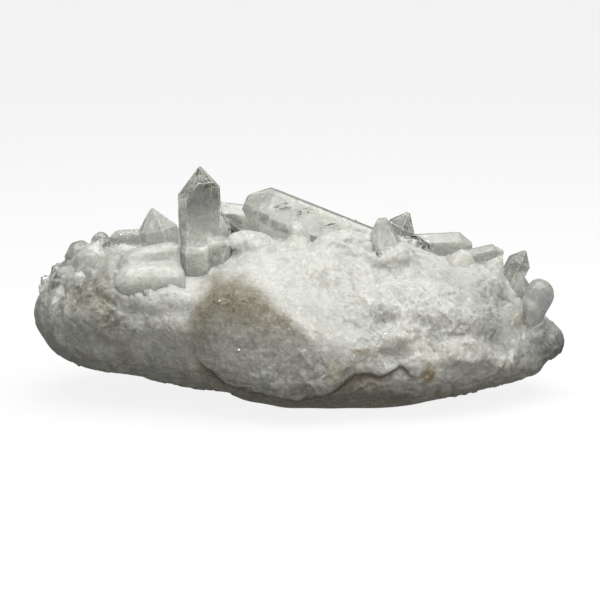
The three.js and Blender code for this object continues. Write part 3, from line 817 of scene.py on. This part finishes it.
class Ground(Shape):
    """A geometry node group that knows where each point lies on the milky body."""

    def __init__(self, name: str) -> None:
        """Args: name, the group's name."""
        super().__init__(name)
        self.x, self.y, self.z = self.parts(self.place)

    def groove(self, crease: Crease) -> Value:
        """How deep a point lies in a crease.

        Args:
            crease: the crease.

        Returns:
            0 outside it to 1 at its bottom.
        """
        wander = (self.noise(3 * MM) - 0.5) * (2 * MM)
        flat = self.node("ShaderNodeCombineXYZ", {"X": self.x + wander, "Z": self.z + wander})
        nearest = 1.0
        for start, end in zip(crease.course, crease.course[1:]):
            low = Vector((start[0] * MM, 0.0, start[1] * MM))
            along = Vector((end[0] * MM, 0.0, end[1] * MM)) - low
            from_start = self.minus(flat, tuple(low))
            share = self.vector("DOT_PRODUCT", from_start, tuple(along / along.length_squared))
            share = self.math("MINIMUM", self.math("MAXIMUM", share, 0.0), 1.0)
            away = self.minus(from_start, self.scaled(tuple(along), share))
            nearest = self.math("MINIMUM", nearest, self.vector("LENGTH", away))
        return self.rise(nearest, crease.width, 0.1 * MM) * self.rise(self.y, -6 * MM, -12 * MM)

    def below(self, lip: Lip) -> tuple[Value, Value]:
        """Where a point lies against a lip.

        Args:
            lip: the lip.

        Returns:
            How far it is below the lip, in metres, and 1 along the lip with 0 beside and behind it.
        """
        edge = lip.line[0][1] * MM + (self.noise(3 * MM) - 0.5) * (2 * lip.stray)
        grade = 0.0
        for (start, low), (end, high) in zip(lip.line, lip.line[1:]):
            turned = (high - low) / (end - start) - grade
            grade += turned
            edge = edge + self.math("MAXIMUM", self.x - start * MM, 0.0) * turned
        first, last = lip.line[0][0] * MM, lip.line[-1][0] * MM
        ends = self.rise(self.x, first, first + 4 * MM) * self.rise(self.x, last, last - 5 * MM)
        return edge - self.z, ends * self.rise(self.y, -4 * MM, -10 * MM)

    def undercut(self, lip: Lip) -> Value:
        """How far the surface is cut back under a lip.

        Args:
            lip: the lip.

        Returns:
            1 just under the lip, falling to 0 at the end of its reach, and 0 above it and beside it.
        """
        below, beside = self.below(lip)
        start = self.rise(below, -0.3 * lip.soft, 0.8 * lip.soft)
        return start * self.rise(below, lip.reach, 0.0) * beside

    def chipped(self, place: Value) -> Value:
        """A place after every chip has cut off what stands above its flat.

        Args:
            place: the place before.

        Returns:
            The place after.
        """
        for chip in CHIPS:
            facing = Vector(chip.facing).normalized()
            centre = Vector(chip.centre) * MM - facing * (chip.sink * MM)
            away = self.minus(place, tuple(centre))
            above = self.math("MAXIMUM", self.vector("DOT_PRODUCT", away, tuple(facing)), 0.0)
            above = self.math("MINIMUM", above, chip.most * MM)
            inside = self.rise(self.vector("LENGTH", away), chip.radius * MM, 0.6 * chip.radius * MM)
            place = self.minus(place, self.scaled(tuple(facing), above * inside))
        return place

    def broken(self) -> Value:
        """How freshly broken the surface is.

        Returns:
            From 0, where it is worn smooth, to about 1.
        """
        right = self.rise(self.x, 4 * MM, 20 * MM)
        left = self.rise(self.x, -26 * MM, -34 * MM) * self.rise(self.z, 17 * MM, 23 * MM)
        rear = self.rise(self.y, 2 * MM, 10 * MM)
        crest = self.rise(self.z, 32 * MM, 35 * MM) * 0.7
        broken = self.math("MAXIMUM", self.math("MAXIMUM", right, left), self.math("MAXIMUM", rear, crest))
        patch = self.rise(self.noise(12 * MM, 2.0), 0.36, 0.62)
        low = self.rise(self.z, 15 * MM, 7 * MM)
        return self.math("MAXIMUM", broken * (0.5 + 0.5 * patch), low * 1.3)

    def druse(self) -> Value:
        """Where small points grow.

        Returns:
            The share of full density, from 0 to 1.
        """
        crest = self.rise(self.z, 25 * MM, 29 * MM) * self.rise(self.y, -6 * MM, 4 * MM)
        left = self.rise(self.x, -26 * MM, -31 * MM) * self.rise(self.z, 23 * MM, 28 * MM)
        east = self.rise(self.x, 40 * MM, 44 * MM) * self.rise(self.z, 18 * MM, 24 * MM)
        patch = self.rise(self.noise(7 * MM, 2.0), 0.44, 0.58)
        return self.math("MAXIMUM", crest * 0.12, self.math("MAXIMUM", left, east * 0.5)) * patch


@dataclass
class MilkyBody:
    """The milky quartz that carries every crystal."""

    crystals: list[Object]
    node: str = "matrix"
    voxel: float = 0.32 * MM
    softening: int = 70
    levelling: int = 260
    hollow_reach: int = 8
    skin: float = 0.40 * MM
    most_triangles: int = 195_000

    def build(self) -> Object:
        """Builds the body from a copy of its CAD node.

        Returns:
            The finished body.
        """
        body = copy_of_node(self.node, "milky_body")
        apply_modifier(body, "REMESH", mode="VOXEL", voxel_size=self.voxel)
        self._soften(body)
        self._break_up(body)
        triangles = 2 * len(body.data.polygons)
        reduce_and_smooth(body, min(1.0, self.most_triangles / triangles))
        self._mark(body)
        hand_over(body, MilkyQuartz().material(), Slot.MILKY, self.node, shadow=True)
        return body

    def _soften(self, body: Object) -> None:
        """Args: body, whose edges are worn round and which grows up to each crystal's faces."""
        tree = Ground("softened")
        near = tree.nearest(self.crystals)
        gap = near.out("Distance")
        worn = tree.evened(tree.place, self.softening)
        level = tree.evened(worn, self.levelling)
        below, beside = tree.below(BROW)
        band = tree.rise(tree.math("ABSOLUTE", below), 6 * MM, 2.5 * MM) * beside
        wear = tree.pushed(tree.minus(worn, tree.place), tree.minus(level, worn), band)
        moved = tree.pushed(tree.place, wear, tree.rise(gap, 0.3 * MM, 2.4 * MM))
        pull = tree.minus(near, tree.place)
        moved = tree.pushed(moved, pull, tree.rise(gap, 1.8 * MM, 0.4 * MM) * 1.1)
        tree.apply(body, Position=moved)

    def _break_up(self, body: Object) -> None:
        """Args: body, whose surface gets facets, creases, lips, swells and chips."""
        tree = Ground("breakage")
        ragged = tree.ragged()
        open_ground = tree.rise(tree.nearest(self.crystals).out("Distance"), 0.1 * MM, 1.5 * MM)
        rough = (0.22 + 0.68 * tree.broken()) * open_ground
        height = (
            tree.facets(BLOCKS, 0.10, 0.08 * MM)
            + tree.facets(COARSE, 0.14, 0.05 * MM, ragged)
            + tree.facets(MEDIUM, 0.15, 0.03 * MM, ragged)
        )
        swell = (tree.noise(10 * MM, 2.0) - 0.5) * (0.6 * MM)
        rise = (height + swell) * rough + self.skin * rough
        for crease in CREASES:
            rise = rise - tree.groove(crease) * crease.depth
        for lip in (BROW, FOOT):
            rise = rise - tree.undercut(lip) * lip.depth
        for centre, half, lift in SWELLS:
            rise = rise + tree.blob(centre, half) * lift
        moved = tree.pushed(tree.place, tree.outward, rise * tree.rise(tree.z, 0.2 * MM, 2.5 * MM))
        above_floor = tree.vector("MAXIMUM", tree.chipped(moved), (-1.0, -1.0, 0.0))
        tree.apply(body, Position=above_floor)

    def _mark(self, body: Object) -> None:
        """Args: body, which gets the marks that its finish reads."""
        tree = Ground("marks")
        crease = 0.0
        for each in CREASES:
            crease = tree.math("MAXIMUM", crease, tree.groove(each))
        bulge = tree.minus(tree.evened(tree.place, self.hollow_reach), tree.place)
        inward = tree.vector("DOT_PRODUCT", bulge, tree.outward)
        # Masks for painted shade under the brow, in the creases, under the foot and in hollows, and for
        # painted highlights on convex edges.
        marks = {
            "crease": tree.math("MAXIMUM", crease * 0.5, tree.undercut(FOOT)),
            "hollow": tree.math("MULTIPLY_ADD", inward, 1 / (0.30 * MM), 0.5),
            "brow": tree.undercut(BROW),
            "crevice": tree.undercut(replace(FOOT, reach=2.6 * MM)),
            "broken": tree.broken(),
        }
        shape = tree.body
        for name, value in marks.items():
            sockets = {"Geometry": shape, "Name": name, "Value": value}
            shape = tree.node("GeometryNodeStoreNamedAttribute", sockets, data_type="FLOAT", domain="POINT")
        tree.apply(body, shape)


# ---- small points


@dataclass
class SmallPoints:
    """Little quartz points in the druse on the crest and in the hollows."""

    body: Object
    crystals: list[Object]
    heights: tuple[float, ...] = (0.7, 1.0, 1.4)
    core: float = 0.90
    per_square_metre: float = 1.3e5
    small: float = 2.0 * MM
    large: float = 5.0 * MM
    sunk: float = 0.50
    lean: float = 1.0
    seed: int = 30

    def build(self) -> None:
        """Strews the points over the body, first their clear skins and then the milk in them."""
        skin = RockCrystal("small_points", polish=0.06)
        milk = Milk(
            name="small_points", axis=UP, top=60 * MM, clear=0.0, fade=1 * MM, haze=0.0, most=0.40,
            veils=1.0, white=(0.76, 0.76, 0.73),
        )
        self._strewn("small_points", 1.0, skin.material())
        self._strewn("small_points_milk", self.core, milk.material())

    def _strewn(self, name: str, scale: float, material: Material) -> None:
        """Strews one set of points.

        Args:
            name: the piece's name.
            scale: the points' size against the full one.
            material: their finish.
        """
        piece = new_object(name, bpy.data.meshes.new(name))
        forms = [self._point(height, scale) for height in self.heights]
        tree = Ground(name + "_druse")
        gap = tree.nearest(self.crystals).out("Distance")
        cover = tree.druse() * (self.per_square_metre / len(forms))
        density = cover * tree.rise(gap, 0.25 * self.large, 0.45 * self.large)
        sets = [self._copies(tree, form, density, self.seed + n) for n, form in enumerate(forms)]
        tree.apply(piece, tree.node("GeometryNodeJoinGeometry", {"Geometry": sets}))
        for form in forms:
            bpy.data.objects.remove(form)
        hand_over(piece, material, Slot.CLOUDY)

    @staticmethod
    def _point(height: float, scale: float) -> Object:
        """A six-sided point about one metre across, scaled down as it is strewn.

        Args:
            height: of its prism.
            scale: its size.

        Returns:
            The point.
        """
        bpy.ops.object.select_all(action="DESELECT")
        bpy.ops.mesh.primitive_cylinder_add(vertices=6, radius=0.577, depth=height)
        point = bpy.context.object
        edit(select=False)
        mesh = bmesh.from_edit_mesh(point.data)
        for face in mesh.faces:
            face.select_set(face.normal.z > 0.9)
        bmesh.update_edit_mesh(point.data)
        bpy.ops.mesh.extrude_region_move(TRANSFORM_OT_translate={"value": (0, 0, 0.6)})
        bpy.ops.transform.resize(value=(0.04, 0.12, 1.0), center_override=(0, 0, 0))
        bpy.ops.mesh.select_all(action="SELECT")
        bpy.ops.transform.resize(value=(scale, scale, scale), center_override=(0, 0, 0))
        bpy.ops.object.mode_set(mode="OBJECT")
        return point

    def _copies(self, tree: Shape, form: Object, density: Value, seed: int) -> Value:
        """Copies of one form over the body.

        Args:
            tree: the node group.
            form: the shape to copy.
            density: copies per square metre over the body.
            seed: picks the places, sizes and leans.

        Returns:
            The copies, realized.
        """
        sockets = {"Mesh": tree.shape_of(self.body), "Density": density, "Seed": seed}
        spots = tree.node("GeometryNodeDistributePointsOnFaces", sockets)
        dice = tree.node("FunctionNodeRandomValue", {"Seed": seed}, data_type="FLOAT")
        size = self.small + dice * dice * (self.large - self.small)
        sockets = {"Min": (0.8, 0.8, 0.8), "Max": (1.35, 1.35, 1.2), "Seed": seed}
        stretch = tree.node("FunctionNodeRandomValue", sockets, data_type="FLOAT_VECTOR")
        lean = self.lean
        sockets = {"Min": (-lean, -lean, 0), "Max": (lean, lean, math.tau), "Seed": seed + 1}
        turn = tree.node("FunctionNodeRandomValue", sockets, data_type="FLOAT_VECTOR")
        sockets = {"Rotation": spots.out("Rotation"), "Rotate By": turn}
        rotation = tree.node("FunctionNodeRotateRotation", sockets, rotation_space="LOCAL")
        sunk = tree.scaled(spots.out("Normal"), size * -self.sunk)
        lowered = tree.node("GeometryNodeSetPosition", {"Geometry": spots, "Offset": sunk})
        sockets = {
            "Points": lowered, "Instance": tree.shape_of(form), "Rotation": rotation,
            "Scale": tree.scaled(stretch, size),
        }
        copies = tree.node("GeometryNodeInstanceOnPoints", sockets)
        return tree.node("GeometryNodeRealizeInstances", {"Geometry": copies})


# ---- the crystals


@dataclass
class Crystal:
    """A crystal, or crystals grown together, with the substance of quartz."""

    node: str
    slot: Slot
    axis: Point = UP
    clear: float = 4 * MM
    fade: float = 5 * MM
    haze: float = 0.10
    most: float = 0.97
    edge: float = 0.09 * MM
    polish: float = 0.03
    density: float = 14.0
    white: Colour = (0.72, 0.72, 0.69)
    veils: float = 1.0
    worn: int = 0
    lumps: float = 0.0
    foot: float = 0.0
    # Radius of the painted highlight lines along the sharp edges; 0 for none.
    edge_highlight_radius: float = 0.0
    inset: float = 0.45 * MM
    voxel: float = 0.30 * MM

    def build(self) -> Object:
        """Builds the crystal from a copy of its CAD node, with the cloud inside it.

        Returns:
            The finished crystal.
        """
        crystal = copy_of_node(self.node, self.node + "_crystal")
        direction = Vector(self.axis).normalized()
        top = max(vertex.co.dot(direction) for vertex in crystal.data.vertices)
        self._cloud(direction, top)
        if self.worn:
            self._remesh(crystal)
            reduce_and_smooth(crystal, 0.5)
        else:
            self._bevel(crystal)
        finish = RockCrystal(self.node, tuple(direction), self.polish, density=self.density)
        hand_over(crystal, finish.material(), self.slot, self.node)
        # Painted highlights: white lines along the sharp edges.
        if self.edge_highlight_radius:
            self._rubbed_edges()
        return crystal

    def _rubbed_edges(self) -> None:
        """Builds the fine white lines along the crystal's sharp edges: painted highlights."""
        lines = copy_of_node(self.node, self.node + "_edges")
        tree = Shape(self.node + "_lines")
        angle = tree.node("GeometryNodeInputMeshEdgeAngle").out("Unsigned Angle")
        sharp = tree.math("GREATER_THAN", angle, SHARP_EDGE)
        curves = tree.node("GeometryNodeMeshToCurve", {"Mesh": tree.body, "Selection": sharp})
        ring = tree.node("GeometryNodeCurvePrimitiveCircle", {"Resolution": 6, "Radius": self.edge_highlight_radius})
        sockets = {"Curve": curves, "Profile Curve": ring, "Fill Caps": True}
        tree.apply(lines, tree.node("GeometryNodeCurveToMesh", sockets))
        hand_over(lines, EdgeHighlight(self.node + "_edges").material(), Slot.CLOUDY)

    def _bevel(self, crystal: Object) -> None:
        """Args: crystal, the copy, whose flat faces get fine bevels along their edges."""
        select_only(crystal)
        edit()
        bpy.ops.mesh.dissolve_limited(angle_limit=math.radians(0.5))
        bpy.ops.mesh.select_all(action="DESELECT")
        mesh = bmesh.from_edit_mesh(crystal.data)
        for edge in mesh.edges:
            low = all(vertex.co.z < self.foot for vertex in edge.verts)
            edge.select_set(low and edge.calc_face_angle(0.0) > math.radians(15))
        bmesh.update_edit_mesh(crystal.data)
        if any(edge.select for edge in mesh.edges):
            bpy.ops.mesh.bevel(offset=self.edge * 12, segments=5, clamp_overlap=True)
        bpy.ops.object.mode_set(mode="OBJECT")
        apply_modifier(
            crystal, "BEVEL", width=self.edge, segments=1, limit_method="ANGLE",
            angle_limit=SHARP_EDGE, use_clamp_overlap=True,
        )
        select_only(crystal)
        bpy.ops.object.shade_smooth_by_angle(angle=SHARP_EDGE)

    def _remesh(self, piece: Object) -> None:
        """Args: piece, a copy, which gets even faces and, where the crystal is worn, round edges."""
        apply_modifier(piece, "REMESH", mode="VOXEL", voxel_size=self.voxel)
        if self.worn:
            tree = Shape(piece.name + "_worn")
            bulge = (tree.noise(4.5 * MM, 2.0) - 0.35) * self.lumps
            bulged = tree.pushed(tree.place, tree.outward, bulge)
            tree.apply(piece, Position=tree.evened(bulged, self.worn))

    def _cloud(self, direction: Vector, top: float) -> None:
        """Builds the cloud inside the crystal.

        Args:
            direction: from root to tip.
            top: how far the tip reaches along it.
        """
        cloud = copy_of_node(self.node, self.node + "_milk")
        self._remesh(cloud)
        tree = Shape(self.node + "_shrunk")
        inward = tree.scaled(tree.outward, -self.inset)
        ripple = (tree.noise(2.0 * MM) - 0.3) * 1.2
        tree.apply(cloud, Offset=tree.scaled(inward, ripple + 0.6))
        reduce_and_smooth(cloud, 0.35)
        finish = Milk(
            name=self.node, axis=tuple(direction), top=top, clear=self.clear, fade=self.fade,
            haze=self.haze, most=self.most, veils=self.veils, white=self.white,
        )
        hand_over(cloud, finish.material(), Slot.CLOUDY, shadow=True)


CRYSTALS = [
    Crystal(
        "tall_point", Slot.CLEAR, clear=7.0 * MM, fade=8 * MM, haze=0.0, most=0.76, veils=1.2,
        edge=0.22 * MM, inset=0.8 * MM, density=190.0, foot=36 * MM, edge_highlight_radius=0.08 * MM,
        white=(0.76, 0.76, 0.73),
    ),
    Crystal(
        "reclining_prism", Slot.CLEAR, axis=(-0.928, 0, 0.373), clear=0, fade=20 * MM, haze=0.38, most=0.56,
        edge=0.18 * MM, inset=0.7 * MM, white=(0.76, 0.76, 0.72),
    ),
    Crystal(
        "left_point", Slot.CLOUDY, clear=0, fade=9 * MM, haze=0.35, most=0.75, edge=0.12 * MM, edge_highlight_radius=THIN,
    ),
    Crystal(
        "lap_crystals", Slot.CLOUDY, clear=0, fade=4 * MM, haze=0.60, most=0.80, worn=60, lumps=1.6 * MM,
        polish=0.20, white=(0.63, 0.63, 0.60),
    ),
    Crystal("left_bead", Slot.CLEAR, clear=3 * MM, haze=0.08, worn=20, density=60.0),
    Crystal("left_slab", Slot.CLEAR, clear=4 * MM, haze=0.12, worn=30, lumps=1.4 * MM, density=60.0),
    Crystal("left_edge_points", Slot.CLOUDY, clear=4 * MM, fade=8 * MM, haze=0.25),
    Crystal("gap_point_rear", Slot.CLOUDY, clear=1 * MM, haze=0.60, most=0.75),
    Crystal("gap_point_front", Slot.CLEAR, clear=9 * MM, haze=0.0, veils=0.1, density=850.0),
    Crystal("saddle_front_point", Slot.CLOUDY, clear=0, fade=5 * MM, haze=0.40, most=0.85, edge_highlight_radius=THIN),
    Crystal(
        "saddle_rear_point", Slot.CLEAR, clear=6 * MM, haze=0.03, density=90.0, inset=0.7 * MM, edge_highlight_radius=THIN,
    ),
    Crystal(
        "ridge_prism", Slot.CLOUDY, axis=(0.95, 0, 0.3), clear=-2 * MM, haze=0.2, most=0.48, density=50.0,
        edge_highlight_radius=THIN,
    ),
    Crystal("cream_prism", Slot.CLOUDY, clear=0, haze=0.65, most=0.85, white=(0.76, 0.75, 0.70)),
    Crystal("notch_prism", Slot.CLEAR, clear=4 * MM, haze=0.16, density=60.0),
    Crystal("east_point", Slot.CLEAR, clear=6 * MM, haze=0.05, density=90.0, edge_highlight_radius=THIN),
    Crystal("east_wedge", Slot.CLOUDY, clear=2 * MM, haze=0.25, most=0.6, edge=0.05 * MM),
    Crystal(
        "end_knob", Slot.CLOUDY, clear=6 * MM, haze=0.25, worn=60, lumps=2.4 * MM, polish=0.08,
        white=(0.67, 0.68, 0.69),
    ),
    Crystal("back_left_points", Slot.CLOUDY, haze=0.30),
    Crystal("back_middle_points", Slot.CLEAR, clear=6 * MM, haze=0.08),
    Crystal("back_standing_points", Slot.CLEAR, clear=8 * MM, haze=0.05),
    Crystal("back_right_points", Slot.CLOUDY, haze=0.30),
    Crystal("back_end_points", Slot.CLOUDY, haze=0.30),
]


@dataclass
class Feather:
    """A healed crack inside a crystal: a thin wavy sheet that glints in streaks."""

    name: str
    centre: Point
    lean: Point
    length: float
    height: float
    silver: Colour = (0.24, 0.25, 0.24)

    def build(self) -> None:
        """Builds the sheet from a grid."""
        bpy.ops.object.select_all(action="DESELECT")
        bpy.ops.mesh.primitive_grid_add(x_subdivisions=28, y_subdivisions=18, size=1.0)
        sheet = bpy.context.object
        sheet.name = self.name
        edit()
        bpy.ops.transform.resize(value=(self.length, self.height, 1.0), center_override=(0, 0, 0))
        for angle, axis in zip(self.lean, "XYZ"):
            bpy.ops.transform.rotate(value=math.radians(angle), orient_axis=axis, center_override=(0, 0, 0))
        bpy.ops.transform.translate(value=self.centre)
        bpy.ops.object.mode_set(mode="OBJECT")
        tree = Shape(self.name + "_waves")
        wave = (tree.noise(1.2 * MM) - 0.5) * (0.5 * MM)
        tree.apply(sheet, Offset=tree.scaled(tree.outward, wave))
        bpy.ops.object.shade_smooth()
        sheen = CrackSheen(self.name, self.centre, 0.75 * self.length, self.silver)
        hand_over(sheet, sheen.material(), Slot.CLOUDY)


WHITE_SHEEN = (0.86, 0.87, 0.86)
FEATHERS = [
    Feather("prism_feather_a", mm(-4.9, 0.5, 41.35), (57, 22, 0), 6.4 * MM, 2.6 * MM),
    Feather("prism_feather_b", mm(0.2, 0.95, 40.2), (60, 24, 0), 6 * MM, 2.2 * MM),
    Feather("prism_feather_c", mm(6.0, 0.75, 37.3), (57, 22, 0), 5 * MM, 1.8 * MM),
    Feather("tall_feather_a", mm(-19.8, -7.5, 45.2), (86, 0, 26), 2.6 * MM, 2.6 * MM, WHITE_SHEEN),
    Feather("tall_feather_b", mm(-20.5, -6.2, 47.4), (75, 60, 15), 2.2 * MM, 1.6 * MM),
    Feather("gap_feather", mm(-13.8, -2.3, 38.2), (58, 40, 0), 1.6 * MM, 1.0 * MM, WHITE_SHEEN),
    Feather("left_feather", mm(-31.2, 1.4, 35.2), (70, -20, 30), 4.4 * MM, 2.4 * MM, WHITE_SHEEN),
    Feather("bead_feather", mm(-44.6, 2.4, 34.4), (50, 20, 10), 2.2 * MM, 1.4 * MM),
    Feather("saddle_feather", mm(23.4, 14.8, 35.4), (60, -30, 0), 3.0 * MM, 2.0 * MM),
    Feather("knob_feather", mm(52.4, -4.0, 23.6), (80, -30, 10), 3.6 * MM, 2.4 * MM, WHITE_SHEEN),
]


# ---- studio


@dataclass(frozen=True)
class Lamp:
    """A square softbox: its middle, its side, its power in watts and its colour."""

    name: str
    place: Point
    size: float
    power: float
    colour: Colour = WHITE

    def hang(self, aim: Point) -> None:
        """Hangs the softbox so that it faces a point.

        Args:
            aim: the point.
        """
        data = bpy.data.lights.new(self.name, "AREA")
        data.size = self.size
        data.energy = self.power
        data.color = self.colour
        light = new_object(self.name, data)
        light.visible_camera = False
        light.location = self.place
        light.rotation_euler = (Vector(self.place) - Vector(aim)).to_track_quat("Z", "Y").to_euler()


LAMPS = (
    Lamp("softbox", (0.06, -0.04, 0.42), 0.46, 1.66, (1.0, 0.995, 0.97)),
    Lamp("sparkle", (-0.16, -0.20, 0.50), 0.035, 0.24),
    Lamp("glint", (0.06, -0.70, 0.09), 0.03, 0.20),
    Lamp("fill", (0.10, -0.60, 0.16), 0.6, 0.8, (1.0, 0.95, 0.84)),
)


@dataclass
class Studio:
    """White paper, lamps and the camera."""

    lens: float = 100.0
    sensor: float = 36.0
    elevation: float = 12.0
    distance: float = 373.17 * MM
    aim: Point = (0.0, 0.0, 21.1 * MM)
    paper_half: float = 6.0
    sky: Colour = (0.21, 0.21, 0.21)
    ground: Colour = (0.075, 0.072, 0.065)
    horizon: Colour = (0.205, 0.205, 0.195)
    zenith: Colour = (0.90, 0.90, 0.87)

    def build(self) -> None:
        """Builds the studio."""
        self._camera()
        self._paper()
        for lamp in LAMPS:
            lamp.hang(self.aim)
        self._world()
        bpy.context.scene.view_settings.view_transform = "Standard"
        log.info("studio: paper, lamps and the camera")

    def _camera(self) -> None:
        """Sets the camera before the specimen, a little above it."""
        tilt = math.radians(self.elevation)
        data = bpy.data.cameras.new("camera")
        data.lens = self.lens
        data.sensor_width = self.sensor
        data.clip_start = 0.01
        data.clip_end = 50.0
        camera = new_object("camera", data)
        back = Vector((0.0, -math.cos(tilt), math.sin(tilt)))
        camera.location = Vector(self.aim) + back * self.distance
        camera.rotation_euler = (math.radians(90) - tilt, 0.0, 0.0)
        bpy.context.scene.camera = camera

    def _paper(self) -> None:
        """Lays the paper. It is seen and shadowed, and throws no light back on the specimen."""
        bpy.ops.object.select_all(action="DESELECT")
        bpy.ops.mesh.primitive_plane_add(size=2 * self.paper_half, location=(0, 0, 0))
        paper = bpy.context.object
        paper.name = "paper"
        paper.data.materials.append(StudioPaper().material())
        paper.visible_diffuse = False
        paper.visible_glossy = False
        paper.visible_transmission = False

    def _world(self) -> None:
        """Grey surroundings, darker below, that the crystals refract."""
        world = bpy.data.worlds.new("surroundings")
        world.use_nodes = True
        world.node_tree.nodes.clear()
        bpy.context.scene.world = world
        tree = Tree(world.node_tree)
        height = tree.parts(tree.node("ShaderNodeTexCoord").out("Generated"))[2]
        path = tree.node("ShaderNodeLightPath")
        grey = tree.mix(tree.rise(height, -0.25, 0.35), self.ground, self.sky)
        glint = tree.mix(tree.rise(height, 0.0, 0.7), self.horizon, self.zenith)
        through = tree.math("MAXIMUM", path.out("Is Transmission Ray"), path.out("Is Glossy Ray"))
        colour = tree.mix(through, grey, glint)
        colour = tree.mix(path.out("Is Camera Ray"), colour, WHITE)
        back = tree.node("ShaderNodeBackground", {"Color": colour})
        tree.node("ShaderNodeOutputWorld", {"Surface": back})


def main() -> None:
    """Builds the studio, the milky body and every crystal."""
    logging.basicConfig(level=logging.INFO, format="%(name)s: %(message)s")
    Studio().build()
    crystals = [crystal.build() for crystal in CRYSTALS]
    body = MilkyBody(crystals).build()
    SmallPoints(body, crystals).build()
    for feather in FEATHERS:
        feather.build()


if __name__ == "__main__":
    main()
